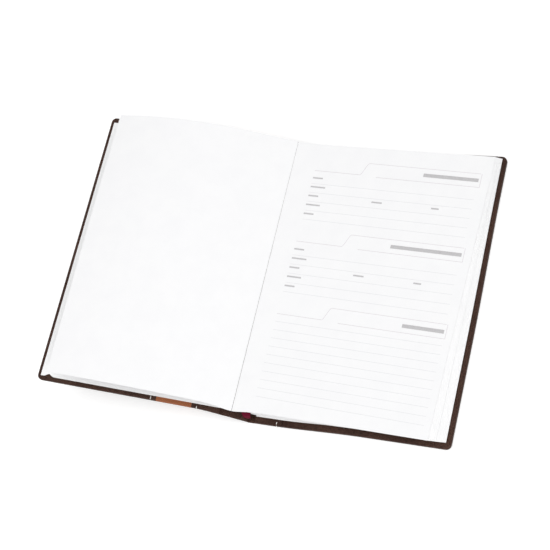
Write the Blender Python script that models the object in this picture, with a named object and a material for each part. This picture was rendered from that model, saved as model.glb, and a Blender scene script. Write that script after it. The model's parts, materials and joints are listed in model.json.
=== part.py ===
"""Daily planner: a case-bound book of folded sections, lying open at its first page.

The back cover lies flat and carries the text block. The spine strip and the front cover fold up from it on
two joints of bare leatherette, so turning the two axis empties closes the planner. Units are metres, +Z is
up, +X runs from the spine to the fore-edge of the back cover and +Y runs from tail to head.
"""

import math

import bmesh
import bpy
from mathutils import Matrix

MM = 0.001

# Cover: a leatherette skin turned in over greyboard
COVER_HEIGHT = 206 * MM
COVER_WIDTH = 143.5 * MM
CORNER_RADIUS = 6 * MM
LEATHER = 0.6 * MM
BOARD = 1.9 * MM
TURN_IN = 14 * MM
EDGE_ROUND = 0.7 * MM
JOINT = 5 * MM

# Caramel band on the front, and the stitched seams beside it
BAND_START = 25.5 * MM
BAND_END = 52 * MM
STITCH_INSET = 3.9 * MM
STITCH_PITCH = 5 * MM
THREAD = 0.36 * MM
THREAD_SINK = 0.03 * MM
SEAM_END = 9 * MM

# Spine stiffener
STRIP = 1.0 * MM
STRIP_MARGIN = 1.6 * MM

# Paper: endpapers, folded sections, single leaves
PAPER = 0.18 * MM
SQUARE = 3 * MM
FORE_SQUARE = 2.8 * MM
PASTEDOWN_MARGIN = 3.2 * MM
ENDPAPER_START = 6 * MM
SECTIONS = 11
SECTION_BACK = 0.70 * MM
SECTION_FORE = 0.45 * MM
BLOCK_SETBACK = 2.8 * MM
BLOCK_RAISE = 0.8 * MM
LINING = 0.25 * MM

# Ribbon marker, laid in the middle of the block
RIBBON_WIDTH = 7 * MM
RIBBON = 0.25 * MM
RIBBON_UNDER = 6
RIBBON_INSET = 1.8 * MM
RIBBON_BEND = 2.2 * MM
RIBBON_FALL = math.radians(65)
RIBBON_TIP = 2.2 * MM

# Pose in which the planner lies open
SPINE_LIFT = math.radians(34)
COVER_LIFT = math.radians(9)
FAN = 12 * MM
LEAF_START = math.radians(29)
LEAF_END = math.radians(-2)

# Clearances
GLUE = 0.08 * MM
LEAF_GAP = 0.06 * MM
SEAM_GAP = 0.30 * MM
HINGE_GAP = 0.35 * MM
THREAD_GAP = 0.09 * MM
CLOSING_ROOM = 0.5 * MM
WELD = 0.001 * MM

# Layers of a cover, measured inwards from the hinge line in the middle of the leatherette
OUTER = -LEATHER / 2
SKIN_TOP = LEATHER / 2
BOARD_LOW = SKIN_TOP + GLUE
BOARD_HIGH = BOARD_LOW + BOARD
TURN_LOW = BOARD_HIGH + GLUE
TURN_HIGH = TURN_LOW + LEATHER
PASTE_LOW = TURN_HIGH + LEAF_GAP
FLY_LOW = PASTE_LOW + PAPER + LEAF_GAP
FLY_HIGH = FLY_LOW + PAPER
STRIP_LOW = SKIN_TOP + GLUE
STRIP_HIGH = STRIP_LOW + STRIP
SPINE_TURN_LOW = STRIP_HIGH + GLUE
SPINE_TURN_HIGH = SPINE_TURN_LOW + LEATHER

# Text block
PAGE_HEIGHT = COVER_HEIGHT - 2 * SQUARE
PAGE_WIDTH = COVER_WIDTH - BLOCK_SETBACK - FORE_SQUARE
RIBBON_ROOM = RIBBON + LEAF_GAP
TAPER = SECTION_BACK - SECTION_FORE
SECTION_STACK = SECTIONS * SECTION_BACK + (SECTIONS - 1) * LEAF_GAP + RIBBON_ROOM
BLOCK_HEIGHT = SECTION_STACK + LEAF_GAP + PAPER
SPINE_WIDTH = 2 * FLY_HIGH + LEAF_GAP + BLOCK_HEIGHT + CLOSING_ROOM

# Hinge lines, with the origin under the middle of the open planner
BACK_HINGE_X = (SPINE_WIDTH * math.cos(SPINE_LIFT) - COVER_WIDTH * (1 - math.cos(COVER_LIFT))) / 2
BACK_HINGE = (BACK_HINGE_X, 0, LEATHER / 2)
BLOCK_BACK_X = BACK_HINGE_X + BLOCK_SETBACK
BLOCK_FLOOR = BACK_HINGE[2] + FLY_HIGH + LEAF_GAP
FAN_STEP = FAN / (SECTIONS - 1)
FRONT, BACK = -1, 1

SHEET_PLANE = Matrix.Rotation(math.radians(90), 4, "X")
RIBBON_PLANE = Matrix(((0, 0, 1, 0), (1, 0, 0, 0), (0, 1, 0, 0), (0, 0, 0, 1)))


# Scene, collections and materials


def clear_scene():
    for old in list(bpy.data.objects):
        bpy.data.objects.remove(old, do_unlink=True)


def new_collection(name):
    collection = bpy.data.collections.new(name)
    bpy.context.scene.collection.children.link(collection)
    return collection


def new_material(name, colour, roughness):
    material = bpy.data.materials.new(name)
    material.use_nodes = True
    shader = material.node_tree.nodes["Principled BSDF"]
    shader.inputs["Base Color"].default_value = (*colour, 1)
    shader.inputs["Roughness"].default_value = roughness
    shader.inputs["Metallic"].default_value = 0
    return material


clear_scene()
PARTS = new_collection("daily_planner")
CUTTERS = new_collection("cutters")
DARK = new_material("dark_leatherette", (0.062, 0.038, 0.031), 0.5)
CARAMEL = new_material("caramel_leatherette", (0.275, 0.107, 0.048), 0.5)
GREYBOARD = new_material("greyboard", (0.33, 0.30, 0.27), 0.9)
WHITE_PAPER = new_material("white_paper", (0.93, 0.93, 0.94), 0.85)
WHITE_THREAD = new_material("white_thread", (0.86, 0.85, 0.82), 0.7)
GAUZE = new_material("lining_gauze", (0.80, 0.78, 0.72), 0.9)
CRIMSON = new_material("crimson_ribbon", (0.242, 0.003, 0.030), 0.45)


# Objects


def add_axis(name, location, lift=0.0, parent=None):
    """Empty on a joint axis along Y, turned by lift about it."""
    axis = bpy.data.objects.new(name, None)
    axis.empty_display_size = 0.02
    axis.location = location
    axis.rotation_euler = (0, lift, 0)
    axis.parent = parent
    PARTS.objects.link(axis)
    return axis


def add_part(name, mesh, material, parent=None, location=(0, 0, 0)):
    part = bpy.data.objects.new(name, mesh)
    part.location = location
    part.parent = parent
    mesh.materials.clear()
    mesh.materials.append(material)
    mesh.shade_smooth()
    mesh.set_sharp_from_angle(angle=math.radians(35))
    PARTS.objects.link(part)
    return part


def add_cutter(name, mesh, parent=None):
    cutter = bpy.data.objects.new(name, mesh)
    cutter.parent = parent
    cutter.hide_render = True
    cutter.display_type = "WIRE"
    CUTTERS.objects.link(cutter)
    return cutter


def cut(part, cutter):
    boolean = part.modifiers.new("cut_" + cutter.name, "BOOLEAN")
    boolean.operation = "DIFFERENCE"
    boolean.solver = "EXACT"
    boolean.object = cutter


# Meshes from outlines and paths


def mesh_of_curve(name, curve):
    """Mesh of a curve with its caps welded, in place of the curve."""
    guide = bpy.data.objects.new(name, curve)
    bpy.context.scene.collection.objects.link(guide)
    graph = bpy.context.evaluated_depsgraph_get()
    mesh = bpy.data.meshes.new_from_object(guide.evaluated_get(graph))
    bpy.data.objects.remove(guide)
    bpy.data.curves.remove(curve)
    shape = bmesh.new()
    shape.from_mesh(mesh)
    bmesh.ops.remove_doubles(shape, verts=shape.verts, dist=WELD)
    bmesh.ops.recalc_face_normals(shape, faces=shape.faces)
    shape.to_mesh(mesh)
    shape.free()
    mesh.name = name
    return mesh


def outline_mesh(name, outline, low, high):
    """Flat outline in XY made solid between two heights, its caps left as whole faces."""
    curve = bpy.data.curves.new(name, "CURVE")
    curve.dimensions = "2D"
    curve.fill_mode = "BOTH"
    curve.extrude = (high - low) / 2
    spline = curve.splines.new("POLY")
    spline.points.add(len(outline) - 1)
    for point, (x, y) in zip(spline.points, outline):
        point.co = (x, y, 0, 1)
    spline.use_cyclic_u = True
    mesh = mesh_of_curve(name, curve)
    shape = bmesh.new()
    shape.from_mesh(mesh)
    bmesh.ops.translate(shape, vec=(0, 0, (low + high) / 2), verts=shape.verts)
    bmesh.ops.dissolve_limit(
        shape, angle_limit=math.radians(0.5), verts=shape.verts, edges=shape.edges
    )
    shape.to_mesh(mesh)
    shape.free()
    return mesh


def sheet_mesh(name, profile, height):
    """Profile in XZ drawn out along Y to a height, centred on Y = 0."""
    mesh = outline_mesh(name, profile, -height / 2, height / 2)
    mesh.transform(SHEET_PLANE)
    return mesh


def rectangle(x_low, x_high, y_low, y_high):
    return [(x_low, y_low), (x_high, y_low), (x_high, y_high), (x_low, y_high)]


def arc(x, y, radius, start, end, steps):
    """Points round a centre, from one angle to another, in radians."""
    turns = [start + (end - start) * step / steps for step in range(steps + 1)]
    return [(x + radius * math.cos(turn), y + radius * math.sin(turn)) for turn in turns]


def strip_profile(path, thickness):
    """Outline of a sheet that follows a path, with half its thickness on each side."""
    left, right = [], []
    for index, (x, y) in enumerate(path):
        before = path[max(index - 1, 0)]
        after = path[min(index + 1, len(path) - 1)]
        run_x, run_y = after[0] - before[0], after[1] - before[1]
        length = math.hypot(run_x, run_y)
        side_x, side_y = -run_y / length * thickness / 2, run_x / length * thickness / 2
        left.append((x + side_x, y + side_y))
        right.append((x - side_x, y - side_y))
    return left + right[::-1]


def cover_outline(side, start, end, half_height, radius=0.0):
    """Outline of a cover from one distance off the hinge line to another, round at the fore-edge."""
    if radius:
        low = arc(end - radius, -half_height + radius, radius, -math.pi / 2, 0, 6)
        high = arc(end - radius, half_height - radius, radius, 0, math.pi / 2, 6)
    else:
        low, high = [(end, -half_height)], [(end, half_height)]
    points = [(start, -half_height), *low, *high, (start, half_height)]
    return [(side * x, y) for x, y in points]


def round_edges(mesh, side, start):
    """Rounds the edges of a skin where it wraps over the board, but not where it meets the next skin."""
    shape = bmesh.new()
    shape.from_mesh(mesh)
    edges = []
    for edge in shape.edges:
        first, second = (vertex.co for vertex in edge.verts)
        level = abs(first.z - second.z) < WELD
        at_seam = all(abs(side * co.x - start) < WELD for co in (first, second))
        inside = all(abs(co.y) < COVER_HEIGHT / 2 - CORNER_RADIUS - WELD for co in (first, second))
        at_fore = all(side * co.x > COVER_WIDTH - CORNER_RADIUS - WELD for co in (first, second))
        along_edge = abs(first.y - second.y) < WELD or at_fore
        if level and along_edge and not at_seam and not (inside and not at_fore):
            edges.append(edge)
    bmesh.ops.bevel(
        shape, geom=edges, offset=EDGE_ROUND, segments=2, profile=0.5, affect="EDGES"
    )
    shape.to_mesh(mesh)
    shape.free()


# Cover skins, boards and endpapers


class Cover:
    """Cutters that shape every skin of one cover, in the frame of its hinge line."""

    def __init__(self, name, side, axis):
        self.name, self.side, self.axis = name, side, axis
        board = cover_outline(
            side,
            JOINT - GLUE,
            COVER_WIDTH - LEATHER,
            COVER_HEIGHT / 2 - LEATHER,
            CORNER_RADIUS - LEATHER,
        )
        window = cover_outline(
            side, -JOINT, COVER_WIDTH - TURN_IN, COVER_HEIGHT / 2 - TURN_IN
        )
        joint = cover_outline(side, -JOINT, JOINT - GLUE / 2, COVER_HEIGHT)
        above = TURN_HIGH + LEATHER
        self.pocket = add_cutter(
            name + "_board_pocket", outline_mesh("pocket", board, SKIN_TOP, TURN_LOW), axis
        )
        self.window = add_cutter(
            name + "_turn_in_window",
            outline_mesh("window", window, (BOARD_LOW + BOARD_HIGH) / 2, above),
            axis,
        )
        self.joint = add_cutter(
            name + "_bare_joint", outline_mesh("joint", joint, SKIN_TOP, above), axis
        )

    def skin(self, name, start, end, material, seams=()):
        """Leatherette from one distance off the hinge line to another, turned in at the edges."""
        at_fore_edge = end == COVER_WIDTH
        outline = cover_outline(
            self.side, start, end, COVER_HEIGHT / 2, CORNER_RADIUS if at_fore_edge else 0
        )
        mesh = outline_mesh(name, outline, OUTER, TURN_HIGH)
        round_edges(mesh, self.side, start)
        part = add_part(name, mesh, material, self.axis)
        cut(part, self.pocket)
        cut(part, self.window)
        if start < JOINT:
            cut(part, self.joint)
        for seam in seams:
            cut(part, seam)
        return part

    def board(self):
        rim = LEATHER + GLUE
        outline = cover_outline(
            self.side, JOINT, COVER_WIDTH - rim, COVER_HEIGHT / 2 - rim, CORNER_RADIUS - rim
        )
        mesh = outline_mesh("board", outline, BOARD_LOW, BOARD_HIGH)
        return add_part(self.name + "_board", mesh, GREYBOARD, self.axis)

    def endpapers(self):
        """The glued and the free half of the folded endpaper, lying on each other."""
        outline = cover_outline(
            self.side, ENDPAPER_START, COVER_WIDTH - PASTEDOWN_MARGIN, PAGE_HEIGHT / 2
        )
        for kind, low in (("_pastedown", PASTE_LOW), ("_flyleaf", FLY_LOW)):
            mesh = outline_mesh("endpaper", outline, low, low + PAPER)
            add_part(self.name + kind, mesh, WHITE_PAPER, self.axis)

    def seam(self, name, distance):
        """Thread row along the cover, turned in with the skin at head and tail. Returns its groove."""
        path = seam_path()
        groove_radius = THREAD / 2 + THREAD_GAP
        groove = tube_curve(name + "_groove", self.side * distance, path, groove_radius, 2)
        cutter = add_cutter(name + "_groove", mesh_of_curve("groove", groove), self.axis)
        thread = tube_curve(name, self.side * distance, stitched(path), THREAD / 2, 0)
        part = bpy.data.objects.new(name, thread)
        part.parent = self.axis
        thread.materials.append(WHITE_THREAD)
        PARTS.objects.link(part)
        return cutter


# Stitching


def seam_path():
    """(y, z, 1) points of a seam from one turn-in over the outer face to the other, sunk in the skin."""
    depth = THREAD / 2 + THREAD_SINK
    turn = EDGE_ROUND - depth / 2
    edge_y = COVER_HEIGHT / 2 - depth
    outer_z, inner_z = OUTER + depth, TURN_HIGH - depth
    half = [(COVER_HEIGHT / 2 - SEAM_END, inner_z)]
    half += arc(edge_y - turn, inner_z - turn, turn, math.pi / 2, 0, 3)
    half += arc(edge_y - turn, outer_z + turn, turn, 0, -math.pi / 2, 3)
    path = half + [(-y, z) for y, z in reversed(half)]
    return [(y, z, 1.0) for y, z in path]


def stitched(path):
    """The seam's points with more between them, each with the share of the thread's width it has."""
    dense, walked = [], 0.0
    for (y, z, _), (next_y, next_z, _) in zip(path, path[1:]):
        length = math.hypot(next_y - y, next_z - z)
        stops = {0.0}
        first = math.floor(walked / STITCH_PITCH)
        last = math.ceil((walked + length) / STITCH_PITCH)
        for stitch in range(first, last):
            for share in (0.04, 0.16, 0.84, 0.96):
                stop = (stitch + share) * STITCH_PITCH - walked
                if 0 < stop < length:
                    stops.add(stop)
        for stop in sorted(stops):
            share = stop / length
            place = (walked + stop) / STITCH_PITCH % 1
            swell = min(1.0, 0.3 + 0.7 * min(place, 1 - place) / 0.16)
            dense.append((y + (next_y - y) * share, z + (next_z - z) * share, swell))
        walked += length
    dense.append((*path[-1][:2], 0.3))
    return dense


def tube_curve(name, x, path, radius, resolution):
    """Curve object data for a round tube across a cover at one x."""
    curve = bpy.data.curves.new(name, "CURVE")
    curve.dimensions = "3D"
    curve.bevel_depth = radius
    curve.bevel_resolution = resolution
    curve.use_fill_caps = True
    spline = curve.splines.new("POLY")
    spline.points.add(len(path) - 1)
    for point, (y, z, swell) in zip(spline.points, path):
        point.co = (x, y, z, 1)
        point.radius = swell
    return curve


# The case: back cover, spine and front cover


def make_case():
    back_axis = add_axis("back_cover_axis", BACK_HINGE)
    spine_axis = add_axis("spine_axis", BACK_HINGE, SPINE_LIFT)
    front_axis = add_axis(
        "front_cover_axis", (-SPINE_WIDTH, 0, 0), COVER_LIFT - SPINE_LIFT, spine_axis
    )
    half_seam = SEAM_GAP / 2

    back = Cover("back", BACK, back_axis)
    seam = back.seam("back_seam_stitching", BAND_START - STITCH_INSET)
    back.skin("spine_cover_back", HINGE_GAP, BAND_START - half_seam, DARK, [seam])
    back.skin("back_panel", BAND_START + half_seam, COVER_WIDTH, DARK)
    back.board()
    back.endpapers()

    front = Cover("front", FRONT, front_axis)
    inner = front.seam("front_band_stitching_inner", BAND_START - STITCH_INSET)
    outer = front.seam("front_band_stitching_outer", BAND_END + STITCH_INSET)
    front.skin("spine_cover_front", HINGE_GAP, BAND_START - half_seam, DARK, [inner])
    front.skin("front_band", BAND_START + half_seam, BAND_END - half_seam, CARAMEL)
    front.skin("front_panel", BAND_END + half_seam, COVER_WIDTH, DARK, [outer])
    front.board()
    front.endpapers()

    make_spine(spine_axis)


def make_spine(axis):
    """Stiffener, and the leatherette over it, turned in at head and tail."""
    half = COVER_HEIGHT / 2
    skin = rectangle(-SPINE_WIDTH + HINGE_GAP, -HINGE_GAP, -half, half)
    pocket = rectangle(-2 * SPINE_WIDTH, SPINE_WIDTH, -half + LEATHER, half - LEATHER)
    window = rectangle(-2 * SPINE_WIDTH, SPINE_WIDTH, -half + TURN_IN, half - TURN_IN)
    rim = LEATHER + GLUE
    strip = rectangle(-SPINE_WIDTH + STRIP_MARGIN, -STRIP_MARGIN, -half + rim, half - rim)
    cover = add_part(
        "spine_cover_middle", outline_mesh("skin", skin, OUTER, SPINE_TURN_HIGH), DARK, axis
    )
    cut(cover, add_cutter("spine_pocket", outline_mesh("p", pocket, SKIN_TOP, SPINE_TURN_LOW), axis))
    above = SPINE_TURN_HIGH + LEATHER
    middle = (STRIP_LOW + STRIP_HIGH) / 2
    cut(cover, add_cutter("spine_window", outline_mesh("w", window, middle, above), axis))
    add_part("spine_strip", outline_mesh("strip", strip, STRIP_LOW, STRIP_HIGH), GREYBOARD, axis)


# The text block


def section_floor(index):
    """Height of a section's lower face at its fold, above the lowest section's."""
    ribbon = RIBBON_ROOM if index >= RIBBON_UNDER else 0
    return index * (SECTION_BACK + LEAF_GAP) + ribbon


def section_place(index):
    """Where a section's fold lies: each one leans a step further over the spine."""
    return (BLOCK_BACK_X - index * FAN_STEP, BLOCK_RAISE, BLOCK_FLOOR + section_floor(index))


def make_sections():
    """Folded sections: round at the fold, pressed thinner at the fore-edge."""
    round_back = SECTION_BACK / 2
    for index in range(SECTIONS):
        drop = -index * TAPER
        fold = arc(round_back, round_back, round_back, math.pi / 2, 3 * math.pi / 2, 6)
        profile = [(PAGE_WIDTH, drop), (PAGE_WIDTH, drop + SECTION_FORE), *fold]
        mesh = sheet_mesh("section", profile, PAGE_HEIGHT)
        add_part(f"signature_{index + 1:02d}", mesh, WHITE_PAPER, None, section_place(index))


def make_leaves():
    """The printed leaf on top of the block, and the title leaf sprung up in an arc on the left."""
    x, y, z = section_place(SECTIONS - 1)
    low = SECTION_BACK + LEAF_GAP
    drop = low - SECTIONS * TAPER
    profile = [
        (SECTION_BACK / 2, low),
        (PAGE_WIDTH, drop),
        (PAGE_WIDTH, drop + PAPER),
        (SECTION_BACK / 2, low + PAPER),
    ]
    add_part("form_leaf", sheet_mesh("leaf", profile, PAGE_HEIGHT), WHITE_PAPER, None, (x, y, z))

    radius = PAGE_WIDTH / (LEAF_START - LEAF_END)
    rise = z + low + PAPER + LEAF_GAP + PAPER / 2
    axis = add_axis("title_leaf_axis", (x, y, rise))
    centre_x = -radius * math.sin(LEAF_START)
    centre_z = -radius * math.cos(LEAF_START)
    start, end = math.pi / 2 - LEAF_START, math.pi / 2 - LEAF_END
    path = arc(centre_x, centre_z, radius, start, end, 20)
    leaf = sheet_mesh("leaf", strip_profile(path, PAPER), PAGE_HEIGHT)
    add_part("title_leaf", leaf, WHITE_PAPER, axis)


def make_lining():
    """Gauze and paper over the backs of the sections, which lean with them."""
    rise = SECTION_STACK - SECTION_BACK
    length = math.hypot(FAN, rise)
    away = SECTION_BACK / 2 + LINING / 2 + LEAF_GAP + RIBBON_ROOM / 2
    middle_x, middle_z = BLOCK_BACK_X + SECTION_BACK / 2, BLOCK_FLOOR + SECTION_BACK / 2
    low_x = middle_x - rise / length * away
    low_z = middle_z - FAN / length * away
    axis = add_axis("spine_lining_axis", (low_x, BLOCK_RAISE, low_z))
    path = [(-FAN * share, rise * share) for share in (0.0, 0.9)]
    height = PAGE_HEIGHT - 2 * TURN_IN
    lining = sheet_mesh("lining", strip_profile(path, LINING), height)
    add_part("spine_lining", lining, GAUZE, axis)


def make_ribbon():
    """Ribbon that runs down the block near its folds and hangs over the tail."""
    under = RIBBON_UNDER - 1
    x, y, z = section_place(under)
    level = SECTION_BACK + LEAF_GAP + RIBBON / 2
    tail = -PAGE_HEIGHT / 2
    bend = arc(tail, -RIBBON_BEND, RIBBON_BEND, math.pi / 2, math.pi / 2 + RIBBON_FALL, 6)
    end_y, end_z = bend[-1]
    tip = (
        end_y - RIBBON_TIP * math.cos(RIBBON_FALL),
        end_z - RIBBON_TIP * math.sin(RIBBON_FALL),
    )
    path = [(PAGE_HEIGHT / 2 - SQUARE, 0), *bend, tip]
    low = RIBBON_INSET
    mesh = outline_mesh("ribbon", strip_profile(path, RIBBON), low, low + RIBBON_WIDTH)
    mesh.transform(RIBBON_PLANE)
    slope = math.atan2((under + 1) * TAPER, PAGE_WIDTH)
    ribbon = add_part("ribbon_marker", mesh, CRIMSON, None, (x, y, z + level))
    ribbon.rotation_euler = (0, slope, 0)


make_case()
make_sections()
make_leaves()
make_lining()
make_ribbon()
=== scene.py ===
"""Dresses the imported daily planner: leatherette case, folded sections, a printed form page and a ribbon."""

import json
import math
from collections import namedtuple

import bmesh
import bpy
import numpy as np
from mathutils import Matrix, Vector


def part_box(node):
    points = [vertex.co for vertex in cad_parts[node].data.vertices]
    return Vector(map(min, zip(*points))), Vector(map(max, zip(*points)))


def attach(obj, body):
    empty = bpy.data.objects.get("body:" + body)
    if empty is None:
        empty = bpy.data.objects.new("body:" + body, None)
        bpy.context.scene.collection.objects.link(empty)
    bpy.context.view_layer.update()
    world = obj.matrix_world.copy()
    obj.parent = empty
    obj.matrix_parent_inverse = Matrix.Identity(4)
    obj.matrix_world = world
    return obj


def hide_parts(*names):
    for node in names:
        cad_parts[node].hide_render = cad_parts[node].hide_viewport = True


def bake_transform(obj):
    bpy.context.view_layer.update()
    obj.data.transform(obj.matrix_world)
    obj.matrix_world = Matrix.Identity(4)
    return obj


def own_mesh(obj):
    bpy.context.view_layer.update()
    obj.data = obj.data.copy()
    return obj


MM = 0.001
SHARP_ANGLE = math.radians(38)

# Cover: sizes repeated from the CAD
COVER_HEIGHT = 206 * MM
COVER_WIDTH = 143.5 * MM
COVER_LIFT = math.radians(9)
COVER_FACE = 2.96 * MM
CORNER_RADIUS = 6 * MM
LEATHER = 0.6 * MM
TURN_IN = 14 * MM
BOARD_START = 5 * MM
STRIP_START = 1.6 * MM
SEAM_EDGE = 25.35 * MM

# Cover: how the skin lies, with the height of its turn-in over the boards, the spine card and nothing
BOARD_TURN = 2.66 * MM
STRIP_TURN = 1.76 * MM
BARE_TURN = 0.62 * MM
BOARD_RAMP = (3.6 * MM, BOARD_START + 0.3 * MM)
STRIP_RAMP = (1.0 * MM, STRIP_START + 0.5 * MM)
EDGE_BEND = 0.55 * MM
HINGE_ROUND = 2.5 * MM
HINGE_STEPS = 6
CORNER_TURN = 3.6 * MM
SPINE_SAG = 1.5 * MM
SAG_FADE_BACK = (22 * MM, 90 * MM)
SAG_FADE_FRONT = (3 * MM, 32 * MM)
PANEL_REACH = 1.1 * MM
TAIL_EASE = (-30 * MM, 75 * MM)

# Cover: where rows of points lie, in millimetres from a hinge or as shares of the spine, and extra cuts
SEAM_STATIONS = (25.35, 25.1, 24.7, 24.0, 22.6, 22.1, 21.85, 21.6, 21.35, 21.1, 20.6)
JOINT_STATIONS = (18, 14, 10, 7, 5.6, 5, 4.4, 3.8, 3.0, 2.0)
COVER_STATIONS = SEAM_STATIONS + JOINT_STATIONS
SPINE_STATIONS = (0.09, 0.12, 0.16, 0.25, 0.5, 0.75, 0.84, 0.88, 0.91)
PANEL_CUTS_OUT = range(30, 90, 6)
PANEL_CUTS_UP = range(-36, 84, 10)

# Stitching
INNER_ROW = 21.6 * MM
OUTER_ROW = 55.9 * MM
STITCH_PITCH = 5 * MM
STITCH_LENGTH = 4.1 * MM
STITCH_RISE = 0.34 * MM
STITCH_ROOT = 0.22 * MM
THREAD_RADIUS = 0.33 * MM
THREAD_SIDES = 6
SEAM_BEND = 0.7 * MM
SEAM_END = 9.5 * MM
GROOVE_DEPTH = 0.14 * MM
GROOVE_WIDTH = 0.5 * MM
ROLL_DEPTH = 0.16 * MM
ROLL_WIDTH = 0.9 * MM
PAPER_SINK = 0.5 * MM
PAPER_SINK_START = 0.9 * MM

# Paper: sizes repeated from the CAD
PAGE_HEIGHT = 200 * MM
PAGE_WIDTH = 137.9 * MM
SECTIONS = 11
SECTION_BACK = 0.70 * MM
SECTION_FORE = 0.45 * MM
SECTION_GAP = 0.06 * MM
FAN_STEP = 1.2 * MM
BLOCK_FLOOR = 3.8 * MM
BLOCK_BACK = 2.8 * MM
BLOCK_RAISE = 0.8 * MM
RIBBON_UNDER = 6
RIBBON_ROOM = 0.31 * MM
LEAF_ROOM = 0.18 * MM
LEAF_START = math.radians(29)
LEAF_END = math.radians(-2)
PASTEDOWN_START = 6 * MM
BACK_PAPER_START = 5.7 * MM

# Paper: how the leaves lie
FOLDED_SHEETS = 4
SHEET_SHARE = 0.94
LEAF_SPOTS = (1.0, 0.93, 0.8, 0.65, 0.5, 0.35, 0.2, 0.08)
FOLD_STEPS = 6
FORE_TRIM = 0.16 * MM
END_TRIM = 0.14 * MM
LEAF = 0.14 * MM
LAG_HEAD = 8.0 * MM
LAG_TAIL = 2.0 * MM
LAG_RUN = 110 * MM
LEAF_DIP = 1.5 * MM
LEAF_REACH = 0.7 * MM
BOW_DEPTH = 0.8 * MM
BOW_MIDDLE = 95 * MM
BOW_WIDTH = 32 * MM
FOLD_DRAWN_TAIL = 1.7 * MM
FOLD_DRAWN_HEAD = 0.6 * MM
FOLD_DRAWN_WIDTH = 12 * MM
FORM_STEPS = 24
TITLE_STEPS = 40
TITLE_TWIST = 3.4 * MM
TITLE_SINK = 1.5 * MM
TITLE_WAVE = 0.5 * MM
FLYLEAF_START = 2.2 * MM
ENDPAPER_REACH = 0.5 * MM
ENDPAPER_FINE = 14 * MM
PLEAT_DEPTH = 1.8 * MM
PLEAT_PLACE = 6 * MM
PLEAT_WIDTH = 2.2 * MM
HEAD_DRAWN = 1.2 * MM
HEAD_DRAWN_FROM = (9 * MM, 5 * MM)
BACK_DRAWN = 1.6 * MM
BACK_DRAWN_FROM = (25 * MM, 75 * MM)
LINING = 0.2 * MM
LINING_INSET = 0.12 * MM

# Printed form, placed in millimetres on the page
FORM_LEFT = 16.5
FORM_RIGHT = 136.4
TABS = ((77.6, 50.5), (23.4, 50.5), (-30.6, 49.5))
TAB_RISE = 9.2
TAB_SWEEP = 5.6
HEADINGS = ((96, 81.9), (85, 27.6), (106, -26.6))
FIELD_RULES = (67.6, 13.1)
FIELD_LABELS = (72.0, 17.6)
FIELD_PITCH = 6.85
LABEL_LENGTHS = (7.5, 11.0, 7.5, 10.5, 7.5)
SHORT_LABELS = ((63.8, 71.4), (106.8, 112.2))
SHORT_DROP = 13.8
NOTE_FIRST = -36.2
NOTE_PITCH = 6.0
NOTE_RULES = 10
TAB_LINE = 0.30 * MM
RULE_LINE = 0.26 * MM
HEADING_BAR = 2.6 * MM
LABEL_BAR = 1.1 * MM
INK = 0.012 * MM
INK_RAISE = 0.009 * MM

# Ribbon
RIBBON = 0.16 * MM
RIBBON_MIDDLE = 0.125 * MM
RIBBON_BEND = 2.2 * MM
RIBBON_FALL = math.radians(65)
RIBBON_TIP = 2.4 * MM
RIBBON_DRIFT = 2.2 * MM
RIBBON_CUP = 0.5 * MM
RIBBON_NARROWED = 0.2

# Light and camera
WORLD_FILL = 0.67
FLOOR_TONE = 0.82
FLOOR_GLOW = 0.44
LAMPS = (
    ("key", (-0.25, 0.0, 1.6), 1.6, 6.2),
    ("fill", (1.0, -1.1, 1.0), 1.4, 10.0),
)
CAMERA_LENS = 93.1738
CAMERA_PLACE = (0.432144, -0.284562, 0.860544)
CAMERA_TURN = (22.6074, 22.0926, 14.383)

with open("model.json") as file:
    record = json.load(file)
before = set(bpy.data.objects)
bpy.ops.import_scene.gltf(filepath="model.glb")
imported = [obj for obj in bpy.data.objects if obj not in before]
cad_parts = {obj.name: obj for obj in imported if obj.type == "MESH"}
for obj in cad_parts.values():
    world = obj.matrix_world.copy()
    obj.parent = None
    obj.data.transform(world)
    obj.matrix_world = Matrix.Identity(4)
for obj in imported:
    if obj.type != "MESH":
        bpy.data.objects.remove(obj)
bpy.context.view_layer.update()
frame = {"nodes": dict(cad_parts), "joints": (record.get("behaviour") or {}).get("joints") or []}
JOINTS = {joint["name"]: joint for joint in frame["joints"]}
HINGE_A = Vector(JOINTS["spine_fold"]["pos_m"])
HINGE_B = Vector(JOINTS["front_cover_fold"]["pos_m"])
GUTTER = Vector(JOINTS["title_leaf_turn"]["pos_m"])
SPINE_RUN = (HINGE_B - HINGE_A).normalized()
SPINE_WIDTH = (HINGE_B - HINGE_A).length
SPINE_IN = Vector((SPINE_RUN.z, 0, -SPINE_RUN.x))
FRONT_RUN = Vector((-math.cos(COVER_LIFT), 0, math.sin(COVER_LIFT)))
FRONT_IN = Vector((math.sin(COVER_LIFT), 0, math.cos(COVER_LIFT)))

Cover = namedtuple("Cover", "hinge run inward body")
BACK = Cover(HINGE_A, Vector((1, 0, 0)), Vector((0, 0, 1)), "back_cover")
FRONT = Cover(HINGE_B, FRONT_RUN, FRONT_IN, "front_cover")


# Materials


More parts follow.
